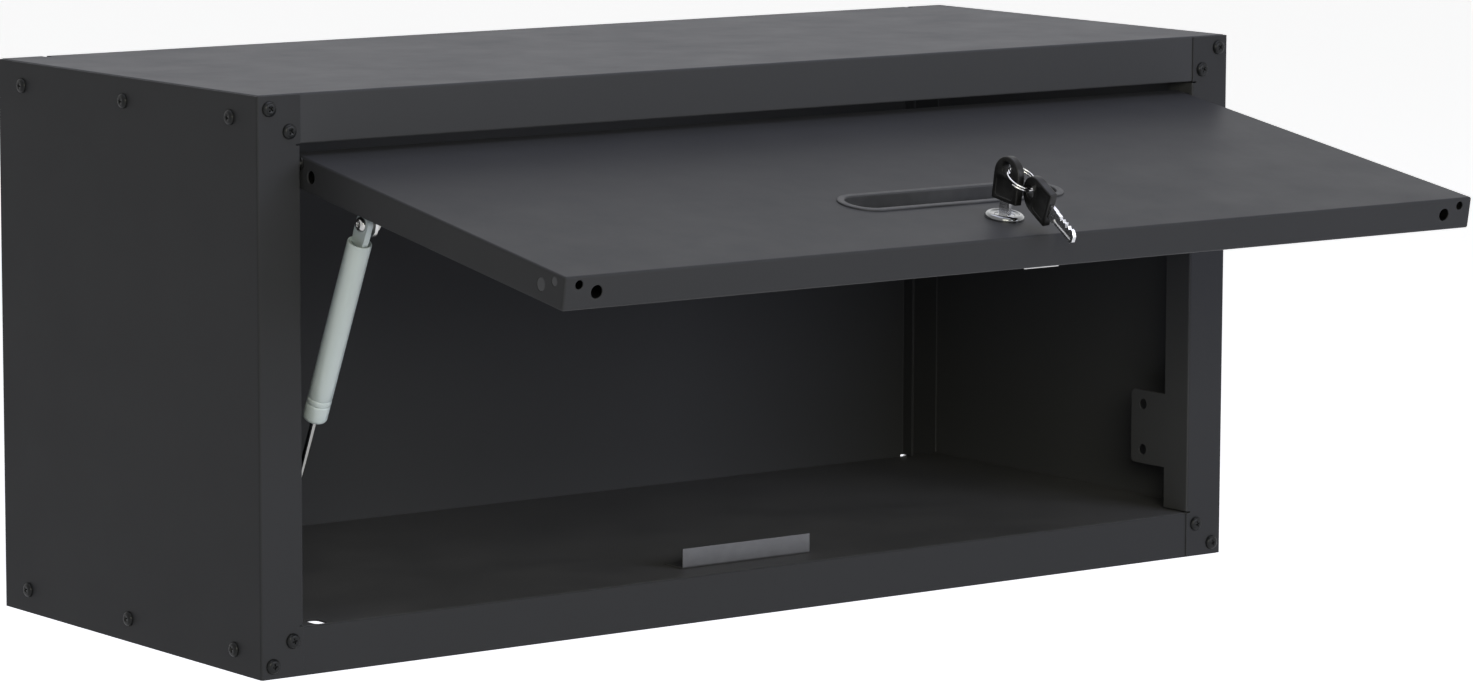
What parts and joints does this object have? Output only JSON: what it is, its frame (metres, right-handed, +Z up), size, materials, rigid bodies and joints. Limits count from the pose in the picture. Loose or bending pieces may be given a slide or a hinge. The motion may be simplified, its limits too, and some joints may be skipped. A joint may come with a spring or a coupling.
{
  "type": "wall cabinet",
  "caption": "Metal wall cabinet with a flip-up door held open by a gas strut, a cam lock with keys on a ring, and screw holes in its back.",
  "frame": {"origin": "middle between the two wall screw holes, on the rear face of the back panel", "axes": "+X to the right seen from the front, -Y towards the front and the door, +Z up"},
  "size_m": [0.7648, 0.5968, 0.35],
  "materials": {
    "charcoal_powder_coat": "satin powder coat",
    "black_screws": "satin",
    "bare_steel": "zinc plated",
    "strut_grey": "satin",
    "polished_rod": "polished",
    "black_plastic": "fine grain",
    "chrome_lock": "polished",
    "key_steel": "nickel plated"
  },
  "bodies": {
    "case": {"left_side_panel": "charcoal_powder_coat", "right_side_panel": "charcoal_powder_coat", "top_panel": "charcoal_powder_coat", "bottom_panel": "charcoal_powder_coat", "back_panel": "charcoal_powder_coat", "front_corner_screws": "black_screws", "side_screws": "black_screws", "front_corner_nuts": "bare_steel", "side_nuts": "bare_steel", "back_panel_rivets": "bare_steel", "hinge_pins": "bare_steel", "strike_plate": "bare_steel", "strike_rivets": "bare_steel", "strut_lower_plate": "charcoal_powder_coat", "strut_plate_screws": "black_screws", "strut_plate_nuts": "bare_steel"},
    "door": {"door_outer_pan": "charcoal_powder_coat", "flange_hole_plugs": "black_plastic", "door_inner_panel": "charcoal_powder_coat", "door_stiffener": "bare_steel", "hinge_bushings": "black_plastic", "pull_cup": "black_plastic", "lock_housing": "chrome_lock", "lock_nut": "bare_steel", "strut_door_bracket": "bare_steel", "strut_pivot_screw": "bare_steel", "strut_pivot_washer": "bare_steel", "strut_pivot_nut": "bare_steel", "bracket_rivets": "bare_steel"},
    "lock": {"lock_plug": "chrome_lock", "lock_cam": "bare_steel", "cam_screw": "bare_steel"},
    "key": {"key_blade": "key_steel", "key_bow": "black_plastic"},
    "ring": {"key_ring": "key_steel"},
    "spare_key": {"spare_key_blade": "key_steel", "spare_key_bow": "black_plastic"},
    "strut_cylinder": {"strut_tube": "strut_grey", "strut_top_eye": "strut_grey", "strut_gland": "black_plastic"},
    "strut_piston_rod": {"strut_rod": "polished_rod", "strut_piston": "black_plastic", "strut_rod_end": "black_plastic", "strut_ball_stud": "bare_steel"}
  },
  "joints": [
    {"name": "door_hinge", "type": "hinge", "parent": "case", "child": "door", "pos_m": [0, -0.3005, 0.008], "axis": [1, 0, 0], "range_deg": [0, 80.7], "stiffness_Nm_per_rad": 2.6, "springref_deg": -148.97},
    {"name": "strut_swing", "type": "hinge", "parent": "door", "child": "strut_cylinder", "pos_m": [-0.33, -0.3428, -0.02548], "axis": [1, 0, 0], "range_deg": [-99.4, 0]},
    {"name": "strut_slide", "type": "slide", "parent": "strut_cylinder", "child": "strut_piston_rod", "axis": [0, 0.4128, -0.9108], "range_m": [-0.0316, 0]},
    {"name": "lock_turn", "type": "hinge", "parent": "door", "child": "lock", "pos_m": [0, -0.53403, -0.02568], "axis": [0, 0.1616, -0.9869], "range_deg": [0, 90]},
    {"name": "key_pull", "type": "slide", "parent": "lock", "child": "key", "axis": [0, -0.1616, 0.9869], "range_m": [0, 0.03]},
    {"name": "ring_swing", "type": "hinge", "parent": "key", "child": "ring", "pos_m": [0, -0.53894, 0.00432], "axis": [1, 0, 0], "range_deg": [-30, 3]},
    {"name": "spare_key_swing", "type": "hinge", "parent": "ring", "child": "spare_key", "pos_m": [0.0053, -0.55444, -0.00805], "axis": [-0.9879, 0.125, -0.0916], "range_deg": [-5, 30]}
  ],
  "couplings": [
    {"joint": "strut_swing", "follows": "door_hinge", "ratio": -1.2293},
    {"joint": "strut_slide", "follows": "door_hinge", "m_per_rad": -0.022354}
  ]
}
